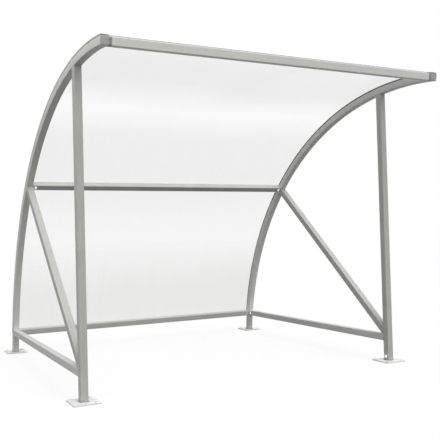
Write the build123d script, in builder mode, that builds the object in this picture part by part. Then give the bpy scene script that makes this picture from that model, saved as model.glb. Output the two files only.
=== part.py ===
from build123d import *
import math
import os

# A curved open shelter: two rolled hoops on posts, tied by a beam, a purlin and rails, with one curved sheet.
# Lengths are in millimetres. The front looks along -Y, the floor is z = 0 and the middle of the plan is x = y = 0.

# Square tube
SECTION = 50.0
WALL = 3.0
CORNER = 5.0
HOOP_CHAMFER = 2.5
BRACE = 50.0
BRACE_CORNER = 5.0

# Hoops
HOOP_RADIUS = 2260.0
HOOP_SPACING = 2400.0
ARC_DROP = 190.0
BEAM_ANGLE = 97.2
PURLIN_ANGLE = 45.3
BRACE_ANGLE = 45.0

# Posts, rails and feet
POST_SETBACK = 2040.0
RAIL_HEIGHT = 178.0
PLATE = 170.0
PLATE_THICK = 8.0
BOLT_SPACING = 130.0
BOLT_HOLE = 7.0

# Beam joints and end caps
JOINT_LENGTH = 18.0
JOINT_WALL = 6.0
CAP_THICK = 4.0

# Sheet and capping strips
SHEET_THICK = 5.0
SHEET_INSET = 3.0
STRIP_THICK = 4.0
STRIP_WIDTH = 50.0
GAP = 0.3

# Worked-out positions
HALF = SECTION / 2
HOOP_X = HOOP_SPACING / 2
ARC_Z = -ARC_DROP
INNER = HOOP_RADIUS - HALF - GAP
OUTER = HOOP_RADIUS + HALF
half_turn = math.degrees(HALF / HOOP_RADIUS)
END_ANGLE = BEAM_ANGLE + half_turn
RAIL_ANGLE = math.degrees(math.asin((RAIL_HEIGHT - ARC_Z) / HOOP_RADIUS))
foot_reach = math.sqrt(HOOP_RADIUS**2 - (PLATE_THICK - ARC_Z)**2)
end = math.radians(END_ANGLE)
front_reach = OUTER * math.cos(end) - CAP_THICK * math.sin(end)
rear_reach = foot_reach + PLATE / 2
ARC_Y = -(front_reach + rear_reach) / 2
FOOT_Y = ARC_Y + foot_reach
POST_Y = ARC_Y + HOOP_RADIUS - POST_SETBACK
POST_BACK = POST_Y + HALF
RAIL_TOP = RAIL_HEIGHT + HALF
SPAN = HOOP_SPACING - SECTION
ARC_AXIS = Axis((0, ARC_Y, ARC_Z), (1, 0, 0))

os.makedirs("parts", exist_ok=True)

# The room inside the hoops, just clear of the tube: members that end on a hoop are trimmed to it
with BuildPart() as hoop_inside:
    with BuildSketch(Plane(origin=(-HOOP_SPACING, ARC_Y, ARC_Z), x_dir=(0, 1, 0), z_dir=(1, 0, 0))):
        Circle(INNER)
    extrude(amount=2 * HOOP_SPACING)


def cross_plane(angle, x):
    """A plane square to the span, at this angle round the arc: its x runs outward and its y round the arc."""
    turn = math.radians(angle)
    c = math.cos(turn)
    s = math.sin(turn)
    at = (x, ARC_Y + HOOP_RADIUS * c, ARC_Z + HOOP_RADIUS * s)
    return Plane(origin=at, x_dir=(0, c, s), z_dir=(1, 0, 0))


def round_plane(angle, x, radius):
    """A plane across the arc at this angle: its x runs along the span, its y outward, and it looks round the arc."""
    turn = math.radians(angle)
    c = math.cos(turn)
    s = math.sin(turn)
    at = (x, ARC_Y + radius * c, ARC_Z + radius * s)
    return Plane(origin=at, x_dir=(1, 0, 0), z_dir=(0, -s, c))


def tube_outline(size, wall, corner):
    """A hollow square with rounded corners, in the sketch that is open."""
    RectangleRounded(size, size, corner)
    hole = size - 2 * wall
    RectangleRounded(hole, hole, corner - wall, mode=Mode.SUBTRACT)


def save(solid, label):
    """Names the solid and writes its file."""
    solid.label = label
    export_step(solid, "parts/" + label + ".step")


def make_hoop(side, x):
    with BuildPart() as hoop:
        with BuildSketch(round_plane(0, x, HOOP_RADIUS)) as outline:
            Rectangle(SECTION, SECTION)
            chamfer(outline.vertices(), length=HOOP_CHAMFER)
            Rectangle(SECTION - 2 * WALL, SECTION - 2 * WALL, mode=Mode.SUBTRACT)
        revolve(axis=ARC_AXIS, revolution_arc=END_ANGLE)
        split(bisect_by=Plane.XY.offset(PLATE_THICK), keep=Keep.TOP)
    save(hoop.part, side + "_hoop")

    with BuildPart() as cap:
        with BuildSketch(round_plane(END_ANGLE, x, HOOP_RADIUS)):
            RectangleRounded(SECTION, SECTION, CORNER)
        extrude(amount=CAP_THICK)
    save(cap.part, side + "_hoop_end_cap")


def make_cross_member(label, angle, length):
    with BuildPart() as member:
        with BuildSketch(cross_plane(angle, -length / 2)):
            tube_outline(SECTION, WALL, CORNER)
        extrude(amount=length)
    save(member.part, label)


def make_beam_joint(side, start):
    with BuildPart() as joint:
        with BuildSketch(cross_plane(BEAM_ANGLE, start)):
            tube_outline(SECTION, JOINT_WALL, CORNER + JOINT_WALL - WALL)
        extrude(amount=JOINT_LENGTH)
    save(joint.part, side + "_beam_joint")


def make_post(side, x):
    with BuildPart() as post:
        with BuildSketch(Plane(origin=(x, POST_Y, PLATE_THICK))):
            tube_outline(SECTION, WALL, CORNER)
        extrude(amount=HOOP_RADIUS)
        add(hoop_inside.part, mode=Mode.INTERSECT)
    save(post.part, side + "_front_post")


def make_side_rail(side, x):
    with BuildPart() as rail:
        with BuildSketch(Plane(origin=(x, POST_BACK, RAIL_HEIGHT), x_dir=(1, 0, 0), z_dir=(0, 1, 0))):
            tube_outline(SECTION, WALL, CORNER)
        extrude(amount=HOOP_RADIUS)
        add(hoop_inside.part, mode=Mode.INTERSECT)
    save(rail.part, side + "_side_rail")


def make_brace(side, x):
    turn = math.radians(BRACE_ANGLE)
    head_y = ARC_Y + OUTER * math.cos(turn)
    head_z = ARC_Z + OUTER * math.sin(turn)
    fall_y = POST_BACK - head_y
    fall_z = RAIL_TOP + BRACE / 2 - head_z
    with BuildPart() as brace:
        with BuildSketch(Plane(origin=(x, head_y, head_z), x_dir=(1, 0, 0), z_dir=(0, fall_y, fall_z))):
            tube_outline(BRACE, WALL, BRACE_CORNER)
        extrude(amount=HOOP_RADIUS)
        add(hoop_inside.part, mode=Mode.INTERSECT)
        split(bisect_by=Plane(origin=(0, POST_BACK, 0), x_dir=(1, 0, 0), z_dir=(0, 1, 0)), keep=Keep.TOP)
        split(bisect_by=Plane.XY.offset(RAIL_TOP), keep=Keep.TOP)
    save(brace.part, side + "_brace")


def make_base_plate(label, x, y):
    with BuildPart() as plate:
        with BuildSketch(Plane(origin=(x, y, 0))):
            Rectangle(PLATE, PLATE)
            with GridLocations(BOLT_SPACING, BOLT_SPACING, 2, 2):
                Circle(BOLT_HOLE, mode=Mode.SUBTRACT)
        extrude(amount=PLATE_THICK)
    save(plate.part, label + "_base_plate")


def make_strip(side, x):
    radius = OUTER + GAP + SHEET_THICK + GAP + STRIP_THICK / 2
    with BuildPart() as strip:
        with BuildSketch(round_plane(RAIL_ANGLE - half_turn, x, radius)):
            Rectangle(STRIP_WIDTH, STRIP_THICK)
        revolve(axis=ARC_AXIS, revolution_arc=END_ANGLE - RAIL_ANGLE + half_turn)
    save(strip.part, side + "_capping_strip")


# Pieces that come in a left and a right
for side, hand in (("left", -1), ("right", 1)):
    make_hoop(side, hand * HOOP_X)
    make_post(side, hand * HOOP_X)
    make_side_rail(side, hand * HOOP_X)
    make_brace(side, hand * HOOP_X)
    make_strip(side, hand * HOOP_X)
    make_base_plate("front_" + side, hand * HOOP_X, POST_Y)
    make_base_plate("rear_" + side, hand * HOOP_X, FOOT_Y)
make_beam_joint("left", -SPAN / 2)
make_beam_joint("right", SPAN / 2 - JOINT_LENGTH)

# Members across the span
make_cross_member("front_beam", BEAM_ANGLE, SPAN - 2 * JOINT_LENGTH)
make_cross_member("mid_purlin", PURLIN_ANGLE, SPAN)
make_cross_member("back_bottom_rail", RAIL_ANGLE, SPAN)

# The sheet lies on the outside of the hoops, from the bottom rail to the beam
with BuildPart() as sheet:
    with BuildSketch(round_plane(RAIL_ANGLE - half_turn, 0, OUTER + GAP + SHEET_THICK / 2)):
        Rectangle(HOOP_SPACING + SECTION - 2 * SHEET_INSET, SHEET_THICK)
    revolve(axis=ARC_AXIS, revolution_arc=END_ANGLE - RAIL_ANGLE + half_turn)
save(sheet.part, "canopy_sheet")
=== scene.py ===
import math

import bmesh
import bpy
from mathutils import Matrix, Vector


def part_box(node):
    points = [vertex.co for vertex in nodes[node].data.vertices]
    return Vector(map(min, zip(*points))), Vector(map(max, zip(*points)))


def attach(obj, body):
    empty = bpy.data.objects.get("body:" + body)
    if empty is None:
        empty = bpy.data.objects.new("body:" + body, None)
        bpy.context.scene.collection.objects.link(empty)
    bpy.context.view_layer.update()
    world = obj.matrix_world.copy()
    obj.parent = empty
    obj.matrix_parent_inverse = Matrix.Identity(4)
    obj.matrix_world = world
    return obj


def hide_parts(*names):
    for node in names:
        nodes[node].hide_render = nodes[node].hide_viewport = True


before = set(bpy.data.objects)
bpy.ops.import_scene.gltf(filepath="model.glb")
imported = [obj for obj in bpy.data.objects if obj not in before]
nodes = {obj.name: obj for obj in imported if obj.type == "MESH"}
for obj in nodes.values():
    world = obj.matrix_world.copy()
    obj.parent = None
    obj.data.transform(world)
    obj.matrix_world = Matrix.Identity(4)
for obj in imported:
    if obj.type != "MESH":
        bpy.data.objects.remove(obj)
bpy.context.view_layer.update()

# Sizes of the frame, in metres and degrees, the same as in the part's source
SECTION = 0.050
CORNER = 0.005
RADIUS = 2.260
HOOP_X = 1.200
ARC_Z = -0.190
BEAM_ANGLE = 97.2
PURLIN_ANGLE = 45.3
RAIL_Z = 0.178
PLATE_TOP = 0.008
BOLT_SPACING = 0.130
SHEET_THICK = 0.005
SHEET_INSET = 0.003
STRIP_THICK = 0.004
STRIP_WIDTH = 0.050
GAP = 0.0003

# Places worked out from them and from the foot plates
HALF = SECTION / 2
SHEET_INSIDE = RADIUS + HALF + GAP
STRIP_INSIDE = SHEET_INSIDE + SHEET_THICK + GAP
low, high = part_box("front_left_base_plate")
POST_Y = (low.y + high.y) / 2
low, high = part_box("rear_left_base_plate")
FOOT_Y = (low.y + high.y) / 2
ARC_Y = FOOT_Y - math.sqrt(RADIUS**2 - (PLATE_TOP - ARC_Z) ** 2)
half_turn = math.degrees(HALF / RADIUS)
END_ANGLE = BEAM_ANGLE + half_turn
RAIL_ANGLE = math.degrees(math.asin((RAIL_Z - ARC_Z) / RADIUS))
SHEET_START = RAIL_ANGLE - half_turn
FOOT_ANGLE = math.degrees(math.asin((PLATE_TOP - ARC_Z) / (RADIUS - HALF)))

SIDES = (("left", -1), ("right", 1))
FEET = [
    (place + "_" + side, hand, y)
    for place, y in (("front", POST_Y), ("rear", FOOT_Y))
    for side, hand in SIDES
]
UP = Vector((0, 0, 1))


# Shapes

def on_arc(angle, radius, x):
    """The point at this angle and radius round the hoops' axis."""
    turn = math.radians(angle)
    return Vector((x, ARC_Y + radius * math.cos(turn), ARC_Z + radius * math.sin(turn)))


def outward(angle):
    """The way out from the hoops' axis at this angle."""
    turn = math.radians(angle)
    return Vector((0, math.cos(turn), math.sin(turn)))


def rounded(width, height, corner, steps, runs=1):
    """Points anticlockwise round a rectangle with rounded corners, and the way out at each.

    A corner has this many steps, and a straight side this many runs."""
    bends = []
    for number, (sx, sy) in enumerate(((1, 1), (-1, 1), (-1, -1), (1, -1))):
        centre = Vector((sx * (width / 2 - corner), sy * (height / 2 - corner)))
        bend = []
        for i in range(steps + 1):
            turn = math.radians(90 * number + 90 * i / steps)
            way = Vector((math.cos(turn), math.sin(turn)))
            bend.append((centre + corner * way, way))
        bends.append(bend)
    points = []
    for bend, following in zip(bends, bends[1:] + bends[:1]):
        last, way = bend[-1]
        first = following[0][0]
        points += bend
        points += [(last.lerp(first, i / runs), way) for i in range(1, runs)]
    return points


def bridge(bm, a, b):
    """Faces between two closed loops of points."""
    for i in range(len(a)):
        j = (i + 1) % len(a)
        bm.faces.new((a[i], a[j], b[j], b[i]))


def skin(bm, rings):
    """Faces between rings of points, with both ends closed."""
    loops = [[bm.verts.new(p) for p in ring] for ring in rings]
    for a, b in zip(loops, loops[1:]):
        bridge(bm, a, b)
    bm.faces.new(list(reversed(loops[0])))
    bm.faces.new(loops[-1])


TURNED_SIDES = 24


def turned(bm, profile, at, axis, spin=0.0):
    """A turned piece on this spot, from the millimetre rings of its profile, seat to top."""
    place = Matrix.Translation(at) @ Vector(axis).to_track_quat("Z", "Y").to_matrix().to_4x4()
    place = place @ Matrix.Rotation(spin, 4, "Z")
    rings = []
    for radius, height, six_sided in profile:
        ring = []
        for i in range(TURNED_SIDES):
            a = 2 * math.pi * i / TURNED_SIDES
            r = radius / 1000
            if six_sided:
                r *= math.cos(math.pi / 6) / math.cos(a % (math.pi / 3) - math.pi / 6)
            ring.append(place @ Vector((r * math.cos(a), r * math.sin(a), height / 1000)))
        rings.append(ring)
    skin(bm, rings)


def put(name, data):
    """A new object in the scene."""
    made = bpy.data.objects.new(name, data)
    bpy.context.scene.collection.objects.link(made)
    return made


def piece(name, bm, material, smooth=35, replaces=None):
    """Makes the object, smooth except at edges sharper than this, and lets it ride on the frame."""
    bmesh.ops.recalc_face_normals(bm, faces=bm.faces)
    mesh = bpy.data.meshes.new(name)
    bm.to_mesh(mesh)
    bm.free()
    for face in mesh.polygons:
        face.use_smooth = True
    mesh.set_sharp_from_angle(angle=math.radians(smooth))
    mesh.materials.append(material)
    made = put(name, mesh)
    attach(made, "root")
    if replaces:
        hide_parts(replaces)
    return made


# Shader nodes

# Sockets of the mix node that are for colours
MIX_FIRST = 6
MIX_SECOND = 7
MIX_RESULT = 2


def node(tree, kind, inputs=None, **settings):
    """A new node with these settings, and its inputs linked or set."""
    made = tree.nodes.new(kind)
    for name, value in settings.items():
        setattr(made, name, value)
    for name, value in (inputs or {}).items():
        if isinstance(value, bpy.types.NodeSocket):
            tree.links.new(value, made.inputs[name])
        else:
            made.inputs[name].default_value = value
    return made


def new_material(name, **sockets):
    """A material of one shader, with these values on the shader's sockets."""
    made = bpy.data.materials.new(name)
    made.use_nodes = True
    tree = made.node_tree
    tree.nodes.clear()
    shader = node(tree, "ShaderNodeBsdfPrincipled")
    for socket, value in sockets.items():
        shader.inputs[socket.replace("_", " ")].default_value = value
    node(tree, "ShaderNodeOutputMaterial", {"Surface": shader.outputs[0]})
    return made, tree, shader


def ramp(tree, factor, stops):
    """Colours by a factor, from stops of position and colour."""
    made = node(tree, "ShaderNodeValToRGB", {"Fac": factor})
    marks = made.color_ramp.elements
    while len(marks) < len(stops):
        marks.new(0.5)
    for mark, (at, colour) in zip(marks, stops):
        mark.position = at
        mark.color = (*colour, 1)
    return made.outputs["Color"]


def maths(tree, operation, a, b):
    return node(tree, "ShaderNodeMath", {0: a, 1: b}, operation=operation).outputs[0]


def mapped(tree, vector, scale):
    """The same place, scaled along each axis."""
    return node(tree, "ShaderNodeMapping", {"Vector": vector, "Scale": scale}).outputs[0]


def noise(tree, vector, scale=1.0, detail=3.0, roughness=0.55):
    sockets = {"Vector": vector, "Scale": scale, "Detail": detail, "Roughness": roughness}
    return node(tree, "ShaderNodeTexNoise", sockets).outputs["Fac"]


def spread(tree, value, low, high, start=0.3, end=0.7):
    """The value's range from start to end, laid out from low to high."""
    sockets = {"Value": value, "From Min": start, "From Max": end, "To Min": low, "To Max": high}
    return node(tree, "ShaderNodeMapRange", sockets).outputs["Result"]


def blend(tree, a, b, share):
    """Two grey patterns added, the second by this share."""
    part = maths(tree, "MULTIPLY", b, share)
    rest = maths(tree, "MULTIPLY", a, 1 - share)
    return maths(tree, "ADD", part, rest)


def tint(tree, factor, base, colour):
    """The base, mixed with this colour where the factor is high."""
    made = node(tree, "ShaderNodeMix", {"Factor": factor, MIX_FIRST: base}, data_type="RGBA")
    made.inputs[MIX_SECOND].default_value = (*colour, 1)
    return made.outputs[MIX_RESULT]


def bump(tree, shader, height, strength, distance):
    """Lets a pattern raise the surface."""
    made = node(tree, "ShaderNodeBump", {"Height": height, "Strength": strength, "Distance": distance})
    tree.links.new(made.outputs[0], shader.inputs["Normal"])


# Materials

# How metallic a tube is, and its level of specular reflection
SATIN = (0.04, 0.30)
DULL = (0.0, 0.15)

# The frame's grey leans a little to yellow: shares of its tone in red, green and blue
GREY_SHARES = (1.0, 1.002, 0.962)
SCUFF_SHARE = 1.22

# Dust on the lowest part of the frame, with painted shade where the tubes meet the plates: darker towards
# the floor
DUST_AND_FOOT_SHADE = (0.36, 0.34, 0.30)
DUST_AND_FOOT_SHADE_TOP = 0.13

# How clear the glazing is along the roll, from bottom rail to beam: two clear bands between duller ones,
# which paint the reflected light on the sheet as lighter bands and its shade as duller ones
PAINTED_REFLECTION_CLEAR_SHARES = (
    (0.10, 0.13), (0.27, 0.77), (0.44, 0.48), (0.54, 0.50), (0.66, 0.97), (0.765, 0.36), (0.90, 0.33),
)
ALPHA_DULL = 0.145
ALPHA_CLEAR = 0.02


def grey(tone):
    return tuple(tone * share for share in GREY_SHARES)


def lines_along(axes, stretch, count):
    """The scale of a pattern that is stretched along the marked axes and fine across them."""
    return tuple(stretch if marked else count for marked in axes)


def drawn_tube(name, dark, light, axes, tilt=0.0, uv=False, gloss=SATIN):
    """Drawn aluminium: lines along the tube, cloudy oxide, small pale scuffs, and dust with painted shade
    near the floor.
    """
    made, tree, shader = new_material(name, Metallic=gloss[0], Specular_IOR_Level=gloss[1])
    coords = node(tree, "ShaderNodeTexCoord")
    place = coords.outputs["Object"]
    lined = coords.outputs["UV"] if uv else place
    if tilt:
        lined = node(tree, "ShaderNodeMapping", {"Vector": lined, "Rotation": (tilt, 0, 0)}).outputs[0]
    lines = noise(tree, mapped(tree, lined, lines_along(axes, stretch=1.6, count=420.0)), detail=2.0)
    bands = noise(tree, mapped(tree, lined, lines_along(axes, stretch=0.7, count=90.0)), detail=2.0)
    cloud = noise(tree, place, scale=7.0, detail=4.0)
    grain = noise(tree, place, scale=650.0, detail=2.0)
    tone = blend(tree, blend(tree, lines, bands, share=0.45), cloud, share=0.45)
    base = ramp(tree, tone, [(0.32, dark), (0.68, light)])
    patches = noise(tree, place, scale=38.0, detail=5.0, roughness=0.7)
    scuff = ramp(tree, patches, [(0.66, (0, 0, 0)), (0.74, (0.35, 0.35, 0.35))])
    scuffed = tint(tree, scuff, base, tuple(min(1.0, c * SCUFF_SHARE) for c in light))
    # Dust and painted contact shade: the tubes darken towards the plates.
    height = node(tree, "ShaderNodeSeparateXYZ", {"Vector": place}).outputs["Z"]
    near_floor = spread(tree, height, low=1.1, high=0.0, start=PLATE_TOP, end=DUST_AND_FOOT_SHADE_TOP)
    dust = maths(tree, "MULTIPLY", near_floor, noise(tree, place, scale=55.0, detail=4.0))
    tree.links.new(tint(tree, dust, scuffed, DUST_AND_FOOT_SHADE), shader.inputs["Base Color"])
    wear = blend(tree, lines, grain, share=0.4)
    tree.links.new(spread(tree, wear, low=0.40, high=0.58), shader.inputs["Roughness"])
    bump(tree, shader, blend(tree, lines, grain, share=0.35), strength=0.22, distance=0.0004)
    return made


def galvanised(name, dark, light):
    """Hot-dip zinc: a spangle of crystals, cloudy and slightly rough."""
    made, tree, shader = new_material(name, Metallic=0.2)
    place = node(tree, "ShaderNodeTexCoord").outputs["Object"]
    wander = node(tree, "ShaderNodeTexNoise", {"Vector": place, "Scale": 60.0}).outputs["Color"]
    shift = node(tree, "ShaderNodeVectorMath", {0: wander, "Scale": 0.012}, operation="SCALE").outputs[0]
    bent = node(tree, "ShaderNodeVectorMath", {0: place, 1: shift}, operation="ADD").outputs[0]
    cells = node(tree, "ShaderNodeTexVoronoi", {"Vector": bent, "Scale": 95.0})
    crystal = node(tree, "ShaderNodeSeparateColor", {"Color": cells.outputs["Color"]}).outputs[0]
    tone = blend(tree, crystal, noise(tree, place, scale=18.0, detail=4.0), share=0.55)
    tree.links.new(ramp(tree, tone, [(0.25, dark), (0.75, light)]), shader.inputs["Base Color"])
    tree.links.new(spread(tree, tone, low=0.62, high=0.40), shader.inputs["Roughness"])
    rise = blend(tree, crystal, noise(tree, place, scale=420.0), share=0.5)
    bump(tree, shader, rise, strength=0.2, distance=0.0005)
    return made


def moulded(name, dark, light, roughness, **sockets):
    """Moulded plastic or rubber: a fine even grain and a little fading."""
    made, tree, shader = new_material(name, **sockets)
    place = node(tree, "ShaderNodeTexCoord").outputs["Object"]
    grain = noise(tree, place, scale=900.0, detail=2.0)
    tone = blend(tree, noise(tree, place, scale=45.0), grain, share=0.35)
    rough = spread(tree, tone, low=roughness - 0.07, high=roughness + 0.07)
    tree.links.new(ramp(tree, tone, [(0.35, dark), (0.65, light)]), shader.inputs["Base Color"])
    tree.links.new(rough, shader.inputs["Roughness"])
    bump(tree, shader, grain, strength=0.25, distance=0.0003)
    return made


def bright_steel(name, dark, light, rough):
    """Stainless fasteners: turned marks, a little tarnish."""
    made, tree, shader = new_material(name, Metallic=0.9)
    place = node(tree, "ShaderNodeTexCoord").outputs["Object"]
    marks = noise(tree, place, scale=1400.0, detail=2.0)
    tone = blend(tree, noise(tree, place, scale=210.0), marks, share=0.4)
    tree.links.new(ramp(tree, tone, [(0.3, dark), (0.7, light)]), shader.inputs["Base Color"])
    tree.links.new(spread(tree, marks, *rough), shader.inputs["Roughness"])
    bump(tree, shader, marks, strength=0.12, distance=0.0002)
    return made


def share_of_roll(tree, place):
    """How far a place is along the roll of the sheet, from 0 at the bottom rail to 1 at the beam."""
    spot = node(tree, "ShaderNodeSeparateXYZ", {"Vector": place})
    rise = maths(tree, "SUBTRACT", spot.outputs["Z"], ARC_Z)
    reach = maths(tree, "SUBTRACT", spot.outputs["Y"], ARC_Y)
    turn = maths(tree, "ARCTAN2", rise, reach)
    return spread(tree, turn, 0.0, 1.0, math.radians(SHEET_START), math.radians(END_ANGLE))


def clear_sheet(name):
    """Clear plastic glazing: soft bands of clearness along the roll that paint reflected light and shade,
    fine runs down it, slow ripples.
    """
    made, tree, shader = new_material(name, IOR=1.5)
    place = node(tree, "ShaderNodeTexCoord").outputs["Object"]
    slow = noise(tree, mapped(tree, place, (0.8, 2.4, 2.4)), detail=2.0)
    drift = blend(tree, share_of_roll(tree, place), slow, share=0.07)
    # Painted reflection and shade: the glazing is clearer in the bands where reflected light falls, and
    # duller between them.
    bands = ramp(tree, drift, [(at, (share, share, share)) for at, share in PAINTED_REFLECTION_CLEAR_SHARES])
    bands.node.color_ramp.interpolation = "EASE"
    runs = noise(tree, mapped(tree, place, (55.0, 1.2, 1.2)))
    dust = noise(tree, place, scale=160.0)
    clear = blend(tree, bands, runs, share=0.10)
    alpha = spread(tree, clear, low=ALPHA_DULL, high=ALPHA_CLEAR, start=0.0, end=1.0)
    tree.links.new(alpha, shader.inputs["Alpha"])
    streaks = blend(tree, runs, dust, share=0.4)
    film = ramp(tree, streaks, [(0.3, (0.28, 0.28, 0.22)), (0.7, (0.50, 0.50, 0.43))])
    tree.links.new(film, shader.inputs["Base Color"])
    wear = blend(tree, runs, dust, share=0.5)
    tree.links.new(spread(tree, wear, low=0.10, high=0.22), shader.inputs["Roughness"])
    ripple = noise(tree, mapped(tree, place, (0.8, 3.2, 3.2)), detail=1.0)
    bump(tree, shader, ripple, strength=0.15, distance=0.004)
    return made


brace_low, brace_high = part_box("left_brace")
brace_tilt = math.atan2(brace_high.z - brace_low.z, brace_high.y - brace_low.y)

# Copies of one aluminium, each member given its own tone to paint the light or shade it gets: lightest on
# the beam and hoops, darkest on the posts and braces.
beam_metal = drawn_tube("tube_beam", grey(0.81), grey(0.93), (1, 0, 0))
across = drawn_tube("tube_across", grey(0.59), grey(0.73), (1, 0, 0), gloss=DULL)
upright = drawn_tube("tube_upright", grey(0.52), grey(0.645), (0, 0, 1))
lengthways = drawn_tube("tube_lengthways", grey(0.64), grey(0.79), (0, 1, 0))
sloping = drawn_tube("tube_sloping", grey(0.55), grey(0.68), (0, 1, 0), tilt=-brace_tilt, gloss=DULL)
rolled = drawn_tube("tube_rolled", grey(0.75), grey(0.89), (1, 0, 1), uv=True)
capping = drawn_tube("strip_rolled", grey(0.60), grey(0.74), (1, 0, 1), uv=True)
zinc = galvanised("zinc", (0.83, 0.835, 0.83), (0.94, 0.945, 0.94))
weld_metal = galvanised("weld_zinc", (0.22, 0.22, 0.215), (0.36, 0.36, 0.355))
joint_plastic = moulded("joint_plastic", (0.33, 0.33, 0.32), (0.43, 0.43, 0.42), 0.5)
cap_plastic = moulded("cap_plastic", (0.46, 0.465, 0.45), (0.56, 0.565, 0.55), 0.5)
seal_rubber = moulded("seal_rubber", (0.66, 0.665, 0.66), (0.76, 0.765, 0.76), 0.6)
steel = bright_steel("bright_steel", (0.50, 0.50, 0.48), (0.74, 0.74, 0.73), (0.22, 0.38))
polished = bright_steel("polished_steel", (0.88, 0.88, 0.87), (0.97, 0.97, 0.96), (0.16, 0.28))
glazing = clear_sheet("glazing")
glazing_edge = moulded("glazing_edge", (0.30, 0.33, 0.325), (0.44, 0.47, 0.465), 0.3, Alpha=0.6, IOR=1.5)


def finish_node(label, material):
    """Gives a solid of the frame its material."""
    slots = nodes[label].data.materials
    slots.clear()
    slots.append(material)


finish_node("front_beam", beam_metal)
finish_node("mid_purlin", across)
finish_node("back_bottom_rail", across)
finish_node("canopy_sheet", glazing)
for side, hand in SIDES:
    finish_node(side + "_front_post", upright)
    finish_node(side + "_side_rail", lengthways)
    finish_node(side + "_brace", sloping)
    finish_node(side + "_beam_joint", joint_plastic)
    finish_node(side + "_hoop", rolled)
    finish_node(side + "_hoop_end_cap", cap_plastic)
    finish_node(side + "_capping_strip", capping)
for label, hand, y in FEET:
    finish_node(label + "_base_plate", zinc)


# Rolled pieces: hoops, capping strips, edge seals and the sheet

HOOP_STEPS = 150
SHEET_STEPS = 140
CORNER_STEPS = 5
EDGE_STEPS = 3
STRIP_CORNER = 0.0007
SHEET_WIDTH = 2 * HOOP_X + SECTION - 2 * SHEET_INSET
SHEET_CORNER = 0.0012
SHEET_RUNS = 12
SEAL_WIDTH = 0.0022
SEAL_CORNER = 0.0009
SEAL_X = HOOP_X + HALF - 0.0017
UV_STEP = 0.0015


def lay_uv(mesh, ring, arc):
    """The map runs along the roll in metres, and goes one step across for each point of the section."""
    layer = mesh.uv_layers.new(name="UVMap")
    for loop in mesh.loops:
        layer.data[loop.index].uv = (arc[loop.vertex_index // ring], loop.vertex_index % ring * UV_STEP)


def roll(name, outline, radius, x, material, replaces=None,
         start=SHEET_START, steps=SHEET_STEPS, foot=None):
    """A section rolled round the hoops' axis to their front end.

    With a foot, its low end is cut level at that height."""
    turns = [start + (END_ANGLE - start) * i / steps for i in range(steps + 1)]
    rings = []
    for number, turn in enumerate(turns):
        ring = []
        for (u, v), way in outline:
            angle = turn
            if foot is not None and number == 0:
                angle = math.degrees(math.asin((foot - ARC_Z) / (radius + v)))
            ring.append(on_arc(angle, radius + v, x + u))
        rings.append(ring)
    bm = bmesh.new()
    skin(bm, rings)
    made = piece(name, bm, material, 40, replaces)
    lay_uv(made.data, len(outline), [math.radians(turn) * radius for turn in turns])
    return made


tube_outline = rounded(SECTION, SECTION, CORNER, CORNER_STEPS)
strip_outline = rounded(STRIP_WIDTH, STRIP_THICK, STRIP_CORNER, EDGE_STEPS)
seal_outline = rounded(SEAL_WIDTH, SHEET_THICK, SEAL_CORNER, EDGE_STEPS)
sheet_outline = rounded(SHEET_WIDTH, SHEET_THICK, SHEET_CORNER, EDGE_STEPS, SHEET_RUNS)
strip_middle = STRIP_INSIDE + STRIP_THICK / 2
sheet_middle = SHEET_INSIDE + SHEET_THICK / 2

for side, hand in SIDES:
    x = hand * HOOP_X
    roll(side + "_hoop_tube", tube_outline, RADIUS, x, rolled, side + "_hoop",
         start=FOOT_ANGLE, steps=HOOP_STEPS, foot=PLATE_TOP)
    roll(side + "_strip_cover", strip_outline, strip_middle, x, capping, side + "_capping_strip")
for side, hand in SIDES:
    roll(side + "_edge_seal", seal_outline, sheet_middle, hand * SEAL_X, seal_rubber)
sheet = roll("sheet_glazing", sheet_outline, sheet_middle, 0, glazing, "canopy_sheet")

# The sheet's last two faces are its cut ends
sheet.data.materials.append(glazing_edge)
for face in sheet.data.polygons[-2:]:
    face.material_index = 1


# Crowned end caps, from rings of size and rise, seat to crown

CAP_RINGS = ((SECTION, 0.0), (SECTION, 0.0022), (0.0492, 0.0032), (0.0474, 0.0038), (0.042, 0.0040))

ahead = outward(END_ANGLE + 90)
for side, hand in SIDES:
    rings = []
    for size, rise in CAP_RINGS:
        outline = rounded(size, size, CORNER - (SECTION - size) / 3, CORNER_STEPS)
        seat = [on_arc(END_ANGLE, RADIUS + v, hand * HOOP_X + u) for (u, v), way in outline]
        rings.append([point + rise * ahead for point in seat])
    bm = bmesh.new()
    skin(bm, rings)
    piece(side + "_crowned_cap", bm, cap_plastic, 50, side + "_hoop_end_cap")


# Weld beads where posts and hoops stand on their plates

WELD_LEG = 0.0052
WELD_LAP = 0.001
WELD_STEPS = 6
WELD_RUNS = 22

# The bead's outline, out from the tube and up it, in shares of its leg
WELD_SHARES = ((1.0, 0.0), (0.86, 0.30), (0.52, 0.64), (0.22, 0.92))
WELD_TOP_SHARE = 1.05

# The leg varies with each drop of metal, and slowly on the way round: shares of it, and turns for each point
DROP_SHARE = 0.10
DROP_TURN = 1.9
SLOW_SHARE = 0.05
SLOW_TURN = 0.31

for label, hand, y in FEET:
    bm = bmesh.new()
    loops = []
    for number, ((u, v), way) in enumerate(rounded(SECTION, SECTION, CORNER, WELD_STEPS, WELD_RUNS)):
        drop = DROP_SHARE * math.sin(number * DROP_TURN)
        slow = SLOW_SHARE * math.sin(number * SLOW_TURN + hand)
        leg = WELD_LEG * (1 + drop + slow)
        at = Vector((hand * HOOP_X + u, y + v, PLATE_TOP))
        out = Vector((way.x, way.y, 0))
        ring = [at - WELD_LAP * out]
        ring += [at + aside * leg * out + rise * leg * UP for aside, rise in WELD_SHARES]
        ring += [at + WELD_TOP_SHARE * leg * UP - WELD_LAP * out]
        loops.append([bm.verts.new(p) for p in ring])
    for a, b in zip(loops, loops[1:] + loops[:1]):
        bridge(bm, a, b)
    piece(label + "_weld", bm, weld_metal, 60)


# Fasteners, from rings of radius and height in millimetres, each round or six-sided

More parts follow.
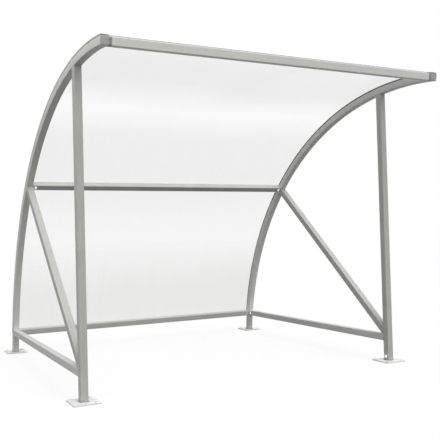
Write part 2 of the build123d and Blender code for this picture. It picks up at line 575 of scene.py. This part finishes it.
ROUND = False
SIX = True
ANCHOR = [
    (12.3, 0.0, ROUND), (12.5, 0.5, ROUND), (12.3, 1.6, ROUND), (11.6, 2.0, ROUND), (9.6, 2.0, ROUND),
    (9.9, 2.3, SIX), (10.4, 2.9, SIX), (10.4, 6.4, SIX), (9.2, 7.3, ROUND), (4.0, 7.6, ROUND),
]
BUTTON = [
    (9.8, 0.0, ROUND), (10.0, 1.0, ROUND), (9.5, 2.5, ROUND), (8.2, 4.0, ROUND), (6.3, 5.0, ROUND),
    (4.7, 5.4, ROUND), (3.7, 5.4, SIX), (3.5, 3.0, SIX),
]
DOME = [
    (13.6, 0.0, ROUND), (14.0, 0.8, ROUND), (13.6, 2.2, ROUND), (12.4, 4.4, ROUND), (10.2, 6.4, ROUND),
    (7.2, 7.9, ROUND), (3.8, 8.7, ROUND), (1.2, 8.9, ROUND),
]
SEALED = [
    (9.6, 0.0, ROUND), (9.8, 0.7, ROUND), (9.4, 1.2, ROUND), (8.6, 1.5, ROUND), (6.6, 1.7, ROUND),
    (5.4, 1.9, SIX), (5.6, 2.2, SIX), (5.6, 3.6, SIX), (4.6, 4.2, ROUND),
]

# Anchors on the foot plates, each tightened to an angle of its own, in degrees
ANCHOR_SPIN = 17
ANCHOR_SPIN_STEP = 37
ANCHOR_SPIN_SIDE = 11

for label, hand, y in FEET:
    bm = bmesh.new()
    for number in range(4):
        dx = BOLT_SPACING / 2 * (1 if number % 2 else -1)
        dy = BOLT_SPACING / 2 * (1 if number > 1 else -1)
        spin = math.radians(ANCHOR_SPIN + ANCHOR_SPIN_STEP * number + ANCHOR_SPIN_SIDE * hand)
        turned(bm, ANCHOR, (hand * HOOP_X + dx, y + dy, PLATE_TOP), UP, spin)
    piece(label + "_anchors", bm, zinc)

# Button screws along the capping strips, which start and stop short of the ends by these degrees
STRIP_SCREWS = 13
LOW_MARGIN = 2.2
FRONT_MARGIN = 1.0
STRIP_SCREW_SPIN = 0.6

screw_arc = END_ANGLE - SHEET_START - LOW_MARGIN - FRONT_MARGIN
for side, hand in SIDES:
    bm = bmesh.new()
    for number in range(STRIP_SCREWS):
        angle = SHEET_START + LOW_MARGIN + screw_arc * number / (STRIP_SCREWS - 1)
        at = on_arc(angle, STRIP_INSIDE + STRIP_THICK, hand * HOOP_X)
        turned(bm, BUTTON, at, outward(angle), STRIP_SCREW_SPIN * number)
    piece(side + "_strip_screws", bm, steel)

# Sealed screws through the sheet, in rows that reach this far to each side
SHEET_SCREWS = 6
SHEET_SCREW_REACH = 1.05
SHEET_SCREW_SPIN = 0.8
BEAM_ROW_BACK = 0.42

for label, angle in (("beam", BEAM_ANGLE - BEAM_ROW_BACK), ("purlin", PURLIN_ANGLE), ("rail", RAIL_ANGLE)):
    bm = bmesh.new()
    for number in range(SHEET_SCREWS):
        x = -SHEET_SCREW_REACH + 2 * SHEET_SCREW_REACH * number / (SHEET_SCREWS - 1)
        at = on_arc(angle, SHEET_INSIDE + SHEET_THICK, x)
        turned(bm, SEALED, at, outward(angle), SHEET_SCREW_SPIN * number)
    piece(label + "_sheet_screws", bm, steel)

# Domed bolts on the inner side of the purlin's ends, of the side rails by the rear legs, and of the posts
PURLIN_BOLT_IN = 0.020
RAIL_BOLT_AHEAD = 0.026
POST_BOLT_Z = 0.036

rail_end = ARC_Y + math.sqrt((RADIUS - HALF) ** 2 - (RAIL_Z - ARC_Z) ** 2)
for side, hand in SIDES:
    bm = bmesh.new()
    inner_x = hand * (HOOP_X - HALF)
    inward = Vector((-hand, 0, 0))
    purlin_spot = on_arc(PURLIN_ANGLE, RADIUS - HALF, hand * (HOOP_X - HALF - PURLIN_BOLT_IN))
    turned(bm, DOME, purlin_spot, -outward(PURLIN_ANGLE))
    turned(bm, DOME, Vector((inner_x, rail_end - RAIL_BOLT_AHEAD, RAIL_Z)), inward)
    turned(bm, DOME, Vector((inner_x, POST_Y, POST_BOLT_Z)), inward)
    piece(side + "_joint_bolts", bm, polished)


# Floor and world

FLOOR_REACH = 60
FLOOR_CORNERS = ((-1, -1), (1, -1), (1, 1), (-1, 1))
FLOOR_TONE = 0.13
FLOOR_GLOW = 0.872
SKY_LEFT = 0.43
SKY_RIGHT = 0.66
SKY_SEEN = 1.0
WHITE = (1, 1, 1, 1)


def seen(tree):
    """One for a ray that the camera sends, or that a mirror or glass sends on."""
    path = node(tree, "ShaderNodeLightPath").outputs
    either = maths(tree, "MAXIMUM", path["Is Camera Ray"], path["Is Glossy Ray"])
    return maths(tree, "MAXIMUM", either, path["Is Transmission Ray"])


bm = bmesh.new()
bm.faces.new([bm.verts.new((FLOOR_REACH * sx, FLOOR_REACH * sy, 0)) for sx, sy in FLOOR_CORNERS])
mesh = bpy.data.meshes.new("floor")
bm.to_mesh(mesh)
bm.free()
floor = put("floor", mesh)

paint = bpy.data.materials.new("floor_paint")
paint.use_nodes = True
tree = paint.node_tree
tree.nodes.clear()
matt = node(tree, "ShaderNodeBsdfDiffuse", {"Color": (FLOOR_TONE, FLOOR_TONE, FLOOR_TONE, 1)})
strength = maths(tree, "MULTIPLY", seen(tree), FLOOR_GLOW)
glow = node(tree, "ShaderNodeEmission", {"Color": WHITE, "Strength": strength})
both = node(tree, "ShaderNodeAddShader", {0: matt.outputs[0], 1: glow.outputs[0]})
node(tree, "ShaderNodeOutputMaterial", {"Surface": both.outputs[0]})
mesh.materials.append(paint)

world = bpy.data.worlds.new("studio")
world.use_nodes = True
tree = world.node_tree
tree.nodes.clear()
way = node(tree, "ShaderNodeTexCoord").outputs["Generated"]
aside = node(tree, "ShaderNodeSeparateXYZ", {"Vector": way}).outputs["X"]
soft = spread(tree, aside, low=SKY_LEFT, high=SKY_RIGHT, start=-1.0, end=1.0)
level = spread(tree, seen(tree), low=soft, high=SKY_SEEN, start=0.0, end=1.0)
sky = node(tree, "ShaderNodeBackground", {"Color": WHITE, "Strength": level})
node(tree, "ShaderNodeOutputWorld", {"Surface": sky.outputs[0]})
bpy.context.scene.world = world


# Lamps: a wide soft key, and a soft panel ahead of the upper left corner for the light side of the left hoop

KEY_ENERGY = 1.6
KEY_SPREAD = 40
KEY_WAY = Vector((-0.10, 0.50, -0.86))
PANEL_ENERGY = 12.0
PANEL_SIZE = 1.2
PANEL_PLACE = Vector((-2.8, -1.8, 2.9))
PANEL_AIM_BACK = 8

sun = bpy.data.lights.new("key", "SUN")
sun.energy = KEY_ENERGY
sun.angle = math.radians(KEY_SPREAD)
key = put("key", sun)
key.rotation_euler = KEY_WAY.to_track_quat("-Z", "Y").to_euler()

area = bpy.data.lights.new("panel", "AREA")
area.energy = PANEL_ENERGY
area.size = PANEL_SIZE
panel = put("panel", area)
panel.location = PANEL_PLACE
aim = on_arc(END_ANGLE - PANEL_AIM_BACK, RADIUS, -HOOP_X) - PANEL_PLACE
panel.rotation_euler = aim.to_track_quat("-Z", "Y").to_euler()
panel.visible_camera = False


# Camera: about a metre up, ahead of the left post and turned to the right

EYE = Vector((-2.349, -4.636, 0.991))
PAN = -25.69
TILT = 1.36
ROLL = -1.41
SENSOR = 36.0
LENS = 53.52
SHIFT = 0.0818
FAR = 200

view = bpy.data.cameras.new("camera")
view.sensor_width = SENSOR
view.sensor_fit = "HORIZONTAL"
view.lens = LENS
view.shift_x = SHIFT
view.clip_end = FAR
camera = put("camera", view)
stand = Matrix.Translation(EYE)
for degrees, axis in ((PAN, "Z"), (90 + TILT, "X"), (ROLL, "Z")):
    stand = stand @ Matrix.Rotation(math.radians(degrees), 4, axis)
camera.matrix_world = stand
bpy.context.scene.camera = camera
bpy.context.scene.view_settings.view_transform = "Standard"
